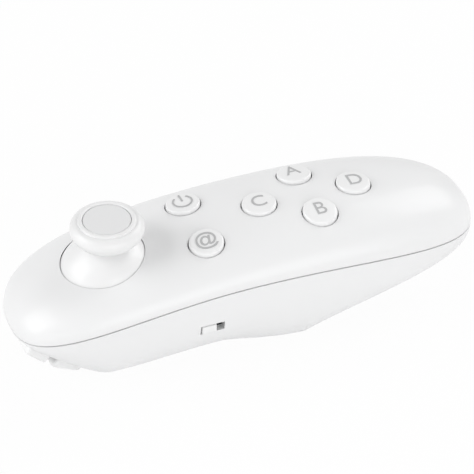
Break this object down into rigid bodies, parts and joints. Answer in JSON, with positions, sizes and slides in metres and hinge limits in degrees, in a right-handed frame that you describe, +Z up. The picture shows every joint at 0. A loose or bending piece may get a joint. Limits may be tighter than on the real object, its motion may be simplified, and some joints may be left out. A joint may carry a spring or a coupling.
{
  "type": "handheld motion controller",
  "caption": "Arched white handheld remote with a thumbstick, round face keys, front triggers, a side slide switch and a battery door under it.",
  "frame": {"origin": "centre of the bounding box's bottom face, on the flat belly that it rests on", "axes": "+Z up, +X from the stick end to the tail, +Y to the left of someone holding it"},
  "size_m": [0.124, 0.04, 0.0402],
  "materials": {
    "white_shell": "satin white moulded plastic",
    "white_key": "satin white moulded plastic",
    "grey_grip": "pale matt thumb pad",
    "black_plastic": "black moulded plastic",
    "green_board": "glass-fibre circuit board",
    "grey_silicone": "conductive silicone",
    "plated_steel": "nickel plated steel",
    "tinned_shield": "tinned shield can",
    "cell_jacket": "plain dark sleeve"
  },
  "bodies": {
    "body": {"top_shell": "white_shell", "bottom_shell": "white_shell", "battery_bay": "black_plastic", "board_header": "black_plastic", "gimbal_housing": "black_plastic", "gimbal_sensor_x": "black_plastic", "gimbal_sensor_y": "black_plastic", "trigger_bracket": "black_plastic", "mode_switch": "black_plastic", "main_board": "green_board", "key_board": "green_board", "trigger_board": "green_board", "key_pad": "grey_silicone", "trigger_pad": "grey_silicone", "contact_plate_left": "plated_steel", "contact_plate_right": "plated_steel", "contact_bridge": "plated_steel", "contact_spring_left": "plated_steel", "contact_spring_right": "plated_steel", "centring_spring": "plated_steel", "case_screw_front_left": "plated_steel", "case_screw_front_right": "plated_steel", "case_screw_rear_left": "plated_steel", "case_screw_rear_right": "plated_steel", "key_board_screw_front": "plated_steel", "key_board_screw_left": "plated_steel", "key_board_screw_right": "plated_steel", "main_board_screw_front": "plated_steel", "main_board_screw_rear": "plated_steel", "radio_module": "tinned_shield", "battery_cell_left": "cell_jacket", "battery_cell_right": "cell_jacket"},
    "yoke": {"gimbal_yoke": "black_plastic", "gimbal_pin": "plated_steel"},
    "stick": {"stick_cap": "white_key", "stick_pad": "grey_grip", "stick_shaft": "plated_steel"},
    "arch": {"gimbal_arch": "black_plastic"},
    "door": {"battery_door": "white_shell"},
    "mode_slider": {"mode_knob": "white_key"},
    "upper_key": {"upper_trigger": "white_key"},
    "lower_key": {"lower_trigger": "white_key"},
    "power_key": {"power_button": "white_key"},
    "menu_key": {"menu_button": "white_key"},
    "a_key": {"a_button": "white_key"},
    "b_key": {"b_button": "white_key"},
    "c_key": {"c_button": "white_key"},
    "d_key": {"d_button": "white_key"}
  },
  "joints": [
    {"name": "stick_roll", "type": "hinge", "parent": "body", "child": "yoke", "pos_m": [-0.0354, 0, 0.02075], "axis": [1, 0, 0], "range_deg": [-13, 13], "stiffness_Nm_per_rad": 0.03, "deforming": ["centring_spring"]},
    {"name": "stick_pitch", "type": "hinge", "parent": "yoke", "child": "stick", "pos_m": [-0.0354, 0, 0.02075], "axis": [0, 1, 0], "range_deg": [-13, 13], "stiffness_Nm_per_rad": 0.03, "deforming": ["centring_spring"]},
    {"name": "arch_pitch", "type": "hinge", "parent": "body", "child": "arch", "pos_m": [-0.0354, 0, 0.02075], "axis": [0, 1, 0], "range_deg": [-14, 14]},
    {"name": "power_press", "type": "slide", "parent": "body", "child": "power_key", "axis": [0, 0, -1], "range_m": [0, 0.0008], "stiffness_N_per_m": 800, "springref_m": -0.0005, "deforming": ["key_pad"]},
    {"name": "menu_press", "type": "slide", "parent": "body", "child": "menu_key", "axis": [0, 0, -1], "range_m": [0, 0.0008], "stiffness_N_per_m": 800, "springref_m": -0.0005, "deforming": ["key_pad"]},
    {"name": "a_press", "type": "slide", "parent": "body", "child": "a_key", "axis": [0, 0, -1], "range_m": [0, 0.0008], "stiffness_N_per_m": 800, "springref_m": -0.0005, "deforming": ["key_pad"]},
    {"name": "b_press", "type": "slide", "parent": "body", "child": "b_key", "axis": [0, 0, -1], "range_m": [0, 0.0008], "stiffness_N_per_m": 800, "springref_m": -0.0005, "deforming": ["key_pad"]},
    {"name": "c_press", "type": "slide", "parent": "body", "child": "c_key", "axis": [0, 0, -1], "range_m": [0, 0.0008], "stiffness_N_per_m": 800, "springref_m": -0.0005, "deforming": ["key_pad"]},
    {"name": "d_press", "type": "slide", "parent": "body", "child": "d_key", "axis": [0, 0, -1], "range_m": [0, 0.0008], "stiffness_N_per_m": 800, "springref_m": -0.0005, "deforming": ["key_pad"]},
    {"name": "upper_trigger_press", "type": "slide", "parent": "body", "child": "upper_key", "axis": [0.5986, 0, 0.801], "range_m": [0, 0.0012], "stiffness_N_per_m": 800, "springref_m": -0.0005, "deforming": ["trigger_pad"]},
    {"name": "lower_trigger_press", "type": "slide", "parent": "body", "child": "lower_key", "axis": [0.5986, 0, 0.801], "range_m": [0, 0.0012], "stiffness_N_per_m": 800, "springref_m": -0.0005, "deforming": ["trigger_pad"]},
    {"name": "mode_slide", "type": "slide", "parent": "body", "child": "mode_slider", "axis": [1, 0, 0], "range_m": [0, 0.0018]},
    {"name": "door_swing", "type": "hinge", "parent": "body", "child": "door", "pos_m": [-0.0346, 0, 0], "axis": [0, 1, 0], "range_deg": [0, 80]}
  ],
  "couplings": [
    {"joint": "arch_pitch", "follows": "stick_pitch", "ratio": 1}
  ]
}
